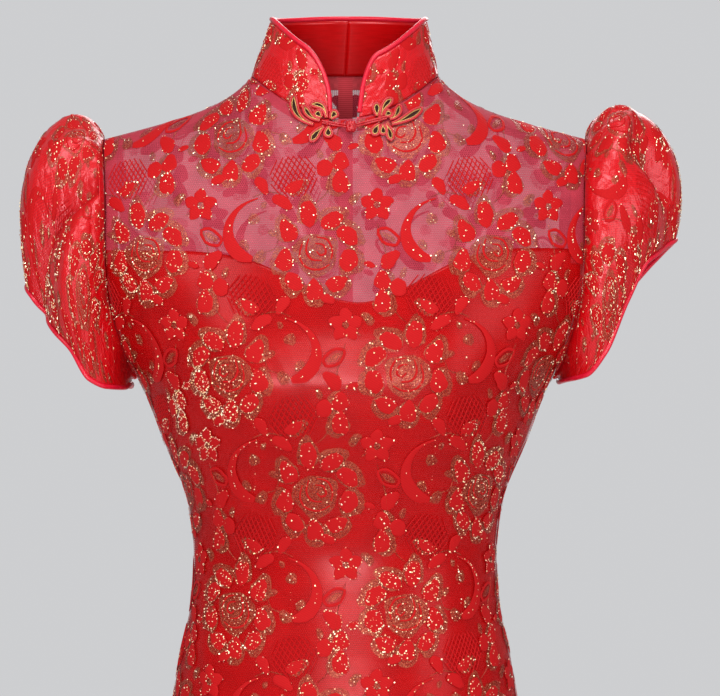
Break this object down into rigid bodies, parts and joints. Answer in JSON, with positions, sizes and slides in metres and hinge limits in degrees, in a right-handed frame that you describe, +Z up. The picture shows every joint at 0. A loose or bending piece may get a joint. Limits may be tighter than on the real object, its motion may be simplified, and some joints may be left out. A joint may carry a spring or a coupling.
{
  "type": "cheongsam wedding dress",
  "caption": "Knee-length worn sheath dress in lace over satin with a sheer net yoke, stand collar, puffed petal sleeves, piped edges and a corded frog fastening.",
  "frame": {"origin": "midway between the two points where the shoulder seams meet the neck, 2 mm below them, where the wearer's shoulders carry the dress", "axes": "+Z up along the body, -Y towards the front of the dress, +X towards the wearer's left"},
  "size_m": [0.5299, 0.242, 1.0566],
  "materials": {
    "lace": "corded lace with metallic thread over satin",
    "satin": "smooth satin",
    "piping": "bias-cut satin over cord",
    "cord": "wound satin cord with metallic edge",
    "zip_metal": "red enamelled zinc"
  },
  "bodies": {
    "dress": {"collar_left": "lace", "collar_right": "lace", "frog_cord_left": "cord", "frog_cord_right": "cord", "frog_knot": "cord", "frog_left_petal_1": "cord", "frog_left_petal_2": "cord", "frog_left_petal_3": "cord", "frog_left_petal_4": "cord", "frog_left_petal_5": "cord", "frog_left_petal_6": "cord", "frog_left_petal_7": "cord", "frog_right_petal_1": "cord", "frog_right_petal_2": "cord", "frog_right_petal_3": "cord", "frog_right_petal_4": "cord", "frog_right_petal_5": "cord", "frog_right_petal_6": "cord", "frog_right_petal_7": "cord", "frog_right_petal_8": "cord", "lace_back_left": "lace", "lace_back_right": "lace", "lace_front": "lace", "lining_back_left": "satin", "lining_back_right": "satin", "lining_front": "satin", "piping_collar_left": "piping", "piping_collar_right": "piping", "piping_sleeve_left": "piping", "piping_sleeve_right": "piping", "sleeve_left": "lace", "sleeve_right": "lace", "zip_slider": "zip_metal"},
    "pull_tab": {"zip_tab": "zip_metal"}
  },
  "joints": [
    {"name": "tab_swing", "type": "hinge", "parent": "dress", "child": "pull_tab", "pos_m": [0, 0.05831, 0.03513], "axis": [1, 0, 0], "range_deg": [0, 170]}
  ]
}
